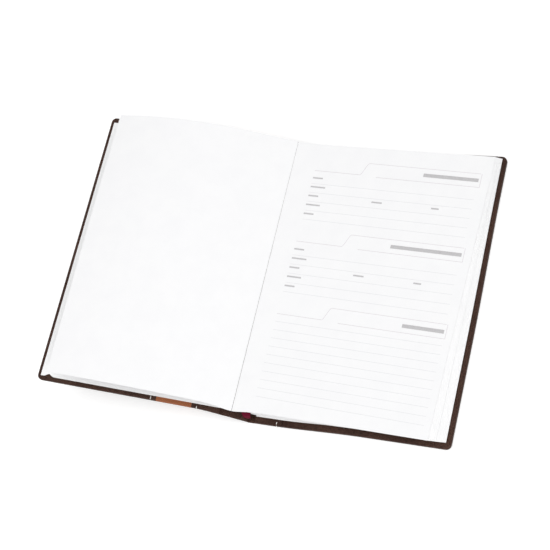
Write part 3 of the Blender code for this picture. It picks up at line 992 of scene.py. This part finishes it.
def make_ribbon():
    """Satin ribbon flat between two sections, its cut end curling down over the tail of the block."""
    low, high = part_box("ribbon_marker")
    level = section_floor(RIBBON_UNDER - 1) + SECTION_BACK + SECTION_GAP + RIBBON_MIDDLE
    route = [(high.y - step * (high.y - TAIL - 2 * MM) / 12, 0.0) for step in range(13)]
    for step in range(9):
        angle = RIBBON_FALL * step / 8
        route.append((TAIL - RIBBON_BEND * math.sin(angle), RIBBON_BEND * (math.cos(angle) - 1)))
    bent_y, bent_z = route[-1]
    for step in range(1, 4):
        out = RIBBON_TIP * step / 3
        route.append((bent_y - out * math.cos(RIBBON_FALL), bent_z - out * math.sin(RIBBON_FALL)))
    middle, half = (low.x + high.x) / 2, (high.x - low.x) / 2
    slope = (RIBBON_UNDER * (SECTION_BACK - SECTION_FORE)) / PAGE_WIDTH
    grid = []
    for y, z in route:
        out = smooth_step(TAIL - y, 0.0, 3 * MM)
        row = []
        for column in range(9):
            side = (column / 8 - 0.5) * 2
            x = middle + half * side * (1 - RIBBON_NARROWED * out) - ribbon_drift(y)
            cup = RIBBON_CUP * out * (1 - side * side)
            row.append((x, y - cup, level + z - slope * (x - low.x)))
        grid.append(row)
    mesh = sheet_mesh("ribbon", grid, RIBBON)
    ribbon = add_piece("ribbon", mesh, CRIMSON, "crimson_ribbon", "ribbon_marker")
    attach(ribbon, "section_06")


# Light, floor and camera


def seen_directly(tree):
    """1 where a surface is seen directly, by reflection or through glass, and 0 for its light on others."""
    rays = tree.nodes.new("ShaderNodeLightPath")
    direct = tree.nodes.new("ShaderNodeMath")
    direct.operation = "MAXIMUM"
    either = tree.nodes.new("ShaderNodeMath")
    either.operation = "MAXIMUM"
    tree.links.new(rays.outputs["Is Camera Ray"], direct.inputs[0])
    tree.links.new(rays.outputs["Is Glossy Ray"], direct.inputs[1])
    tree.links.new(direct.outputs[0], either.inputs[0])
    tree.links.new(rays.outputs["Is Transmission Ray"], either.inputs[1])
    return either.outputs[0]


def make_world():
    """White where it is seen, and a softer fill for the light it gives."""
    world = bpy.data.worlds.new("studio")
    bpy.context.scene.world = world
    world.use_nodes = True
    tree = world.node_tree
    background = tree.nodes["Background"]
    background.inputs["Color"].default_value = (1, 1, 1, 1)
    level = tree.nodes.new("ShaderNodeMapRange")
    level.inputs["To Min"].default_value = WORLD_FILL
    level.inputs["To Max"].default_value = 1.0
    tree.links.new(seen_directly(tree), level.inputs["Value"])
    tree.links.new(level.outputs["Result"], background.inputs["Strength"])


def floor_material():
    """Matte pale grey, which glows a little where it is seen, so that it meets the white background."""
    material = bpy.data.materials.new("studio_floor")
    material.use_nodes = True
    tree = material.node_tree
    tree.nodes.clear()
    output = tree.nodes.new("ShaderNodeOutputMaterial")
    matte = tree.nodes.new("ShaderNodeBsdfDiffuse")
    matte.inputs["Color"].default_value = (FLOOR_TONE, FLOOR_TONE, FLOOR_TONE, 1)
    glow = tree.nodes.new("ShaderNodeEmission")
    share = tree.nodes.new("ShaderNodeMath")
    share.operation = "MULTIPLY"
    share.inputs[1].default_value = FLOOR_GLOW
    both = tree.nodes.new("ShaderNodeAddShader")
    tree.links.new(seen_directly(tree), share.inputs[0])
    tree.links.new(share.outputs[0], glow.inputs["Strength"])
    tree.links.new(matte.outputs[0], both.inputs[0])
    tree.links.new(glow.outputs[0], both.inputs[1])
    tree.links.new(both.outputs[0], output.inputs["Surface"])
    return material


def make_floor():
    mesh = bpy.data.meshes.new("floor")
    shape = bmesh.new()
    bmesh.ops.create_grid(shape, x_segments=1, y_segments=1, size=6.0)
    shape.to_mesh(mesh)
    shape.free()
    mesh.materials.append(floor_material())
    floor = bpy.data.objects.new("floor", mesh)
    floor.location.z = -0.1 * MM
    bpy.context.scene.collection.objects.link(floor)


def make_lamps():
    """Soft area lamps, turned to the middle of the planner."""
    for name, place, size, power in LAMPS:
        lamp = bpy.data.lights.new(name, "AREA")
        lamp.size = size
        lamp.energy = power
        light = bpy.data.objects.new(name, lamp)
        light.location = place
        light.rotation_euler = (-Vector(place)).to_track_quat("-Z", "Y").to_euler()
        bpy.context.scene.collection.objects.link(light)


def make_camera():
    lens = bpy.data.cameras.new("camera")
    lens.sensor_width = 36
    lens.lens = CAMERA_LENS
    lens.clip_end = 20
    camera = bpy.data.objects.new("camera", lens)
    camera.location = CAMERA_PLACE
    camera.rotation_euler = [math.radians(turn) for turn in CAMERA_TURN]
    bpy.context.scene.collection.objects.link(camera)
    bpy.context.scene.camera = camera


def dress_cad_nodes():
    """Better materials for the CAD pieces that stay."""
    finishes = {
        "front_band": CARAMEL,
        "back_board": GREYBOARD,
        "front_board": GREYBOARD,
        "spine_strip": GREYBOARD,
    }
    for node, material in finishes.items():
        dress(frame["nodes"][node].data, material)


make_spine_skin()
make_panel("back_skin", "back_panel", BACK, reach=PANEL_REACH)
make_panel("front_skin", "front_panel", FRONT, reach=0.0)
make_stitches("stitches_back", "back_seam_stitching", BACK, INNER_ROW, phase=0.35, sink=0.40 * MM)
make_stitches("stitches_inner", "front_band_stitching_inner", FRONT, INNER_ROW, phase=0.62, sink=0.0)
make_stitches("stitches_outer", "front_band_stitching_outer", FRONT, OUTER_ROW, phase=0.2, sink=0.0)
make_sections()
make_form_page()
make_title_leaf()
make_endpaper("flyleaf", "front_flyleaf", FRONT, FLYLEAF_START, ENDPAPER_REACH, front_trim)
make_endpaper("pastedown", "front_pastedown", FRONT, PASTEDOWN_START, ENDPAPER_REACH, front_trim)
make_endpaper("rear_flyleaf", "back_flyleaf", BACK, BACK_PAPER_START, 0.0, back_trim)
make_endpaper("rear_pastedown", "back_pastedown", BACK, BACK_PAPER_START, 0.0, back_trim)
make_lining()
make_print()
make_ribbon()
dress_cad_nodes()
make_world()
make_floor()
make_lamps()
make_camera()
bpy.context.scene.view_settings.view_transform = "Standard"
